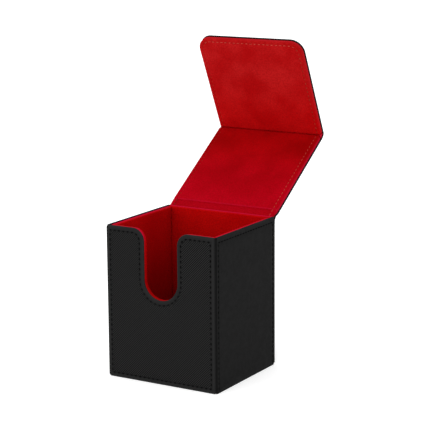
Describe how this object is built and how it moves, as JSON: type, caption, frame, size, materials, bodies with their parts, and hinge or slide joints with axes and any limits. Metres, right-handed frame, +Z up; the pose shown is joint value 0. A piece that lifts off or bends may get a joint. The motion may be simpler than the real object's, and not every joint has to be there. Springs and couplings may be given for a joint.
{
  "type": "card deck box",
  "caption": "Stitched leatherette card deck box with a thumb notch, a soft lining, a fold-back lid and a magnetic front flap.",
  "frame": {"origin": "centre of the base, on the surface the box stands on", "axes": "+Z up; -Y towards the front, where the thumb notch is; +X to the right seen from the front; the lid's hinge runs along X at the back"},
  "size_m": [0.0814, 0.1458, 0.2107],
  "materials": {
    "leather": "black leatherette, satin, fine diagonal ribs on the front and fine grain elsewhere, black stitching near the edges",
    "lining": "red suede-like microfibre, brushed in soft patches, red stitching near the edges",
    "board": "solid greyboard, unfinished",
    "magnet": "nickel plated"
  },
  "bodies": {
    "case": {"front_leather": "leather", "front_board": "board", "front_lining": "lining", "back_leather": "leather", "back_board": "board", "back_lining": "lining", "left_leather": "leather", "left_board": "board", "left_lining": "lining", "right_leather": "leather", "right_board": "board", "right_lining": "lining", "bottom_leather": "leather", "bottom_board": "board", "bottom_lining": "lining", "front_magnet_left": "magnet", "front_magnet_right": "magnet", "lid_hinge_leather": "leather", "lid_hinge_lining": "lining"},
    "lid": {"lid_leather": "leather", "lid_board": "board", "lid_lining": "lining", "flap_hinge_leather": "leather", "flap_hinge_lining": "lining"},
    "flap": {"flap_leather": "leather", "flap_board": "board", "flap_lining": "lining", "flap_magnet_left": "magnet", "flap_magnet_right": "magnet"}
  },
  "joints": [
    {"name": "lid_hinge", "type": "hinge", "parent": "case", "child": "lid", "pos_m": [0, 0.0389, 0.1012], "axis": [1, 0, 0], "range_deg": [-62.8, 147.2], "deforming": ["lid_hinge_leather", "lid_hinge_lining"]},
    {"name": "flap_hinge", "type": "hinge", "parent": "lid", "child": "flap", "pos_m": [0, 0.10795, 0.14298], "axis": [1, 0, 0], "range_deg": [-82.6, 7.4], "deforming": ["flap_hinge_leather", "flap_hinge_lining"]}
  ]
}
